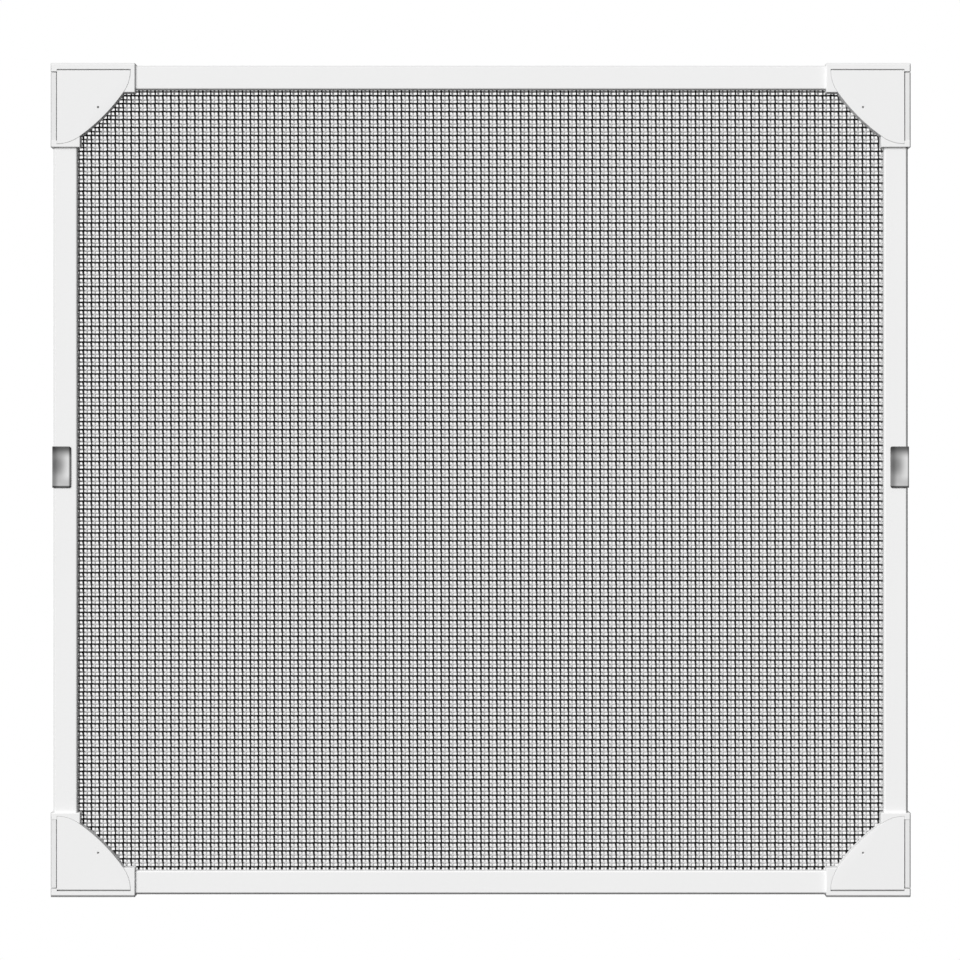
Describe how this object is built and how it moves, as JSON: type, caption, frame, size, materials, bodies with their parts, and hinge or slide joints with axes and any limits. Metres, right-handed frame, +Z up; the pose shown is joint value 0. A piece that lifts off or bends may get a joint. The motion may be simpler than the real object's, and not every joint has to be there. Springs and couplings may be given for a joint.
{
  "type": "window insect screen",
  "caption": "Framed insect screen for a window: white bars, moulded corner blocks with corner covers, a dark open mesh and steel hook clips on the stiles.",
  "frame": {"origin": "the middle of the lower edge, at half of the whole depth from the front of the corner blocks to the back of the hooks", "axes": "+X to the right along the rails, +Z up along the stiles, and the front faces -Y"},
  "size_m": [0.902, 0.0252, 0.875],
  "materials": {
    "bar": "satin",
    "corner": "satin",
    "cover": "satin",
    "mesh": "matte",
    "spline": "matte",
    "clip": "satin"
  },
  "bodies": {
    "root": {"top_rail": "bar", "bottom_rail": "bar", "left_stile": "bar", "right_stile": "bar", "top_left_corner": "corner", "top_right_corner": "corner", "bottom_left_corner": "corner", "bottom_right_corner": "corner", "top_left_cover": "cover", "top_right_cover": "cover", "bottom_left_cover": "cover", "bottom_right_cover": "cover", "mesh": "mesh", "top_spline": "spline", "bottom_spline": "spline", "left_spline": "spline", "right_spline": "spline", "left_clip": "clip", "right_clip": "clip"}
  },
  "joints": []
}
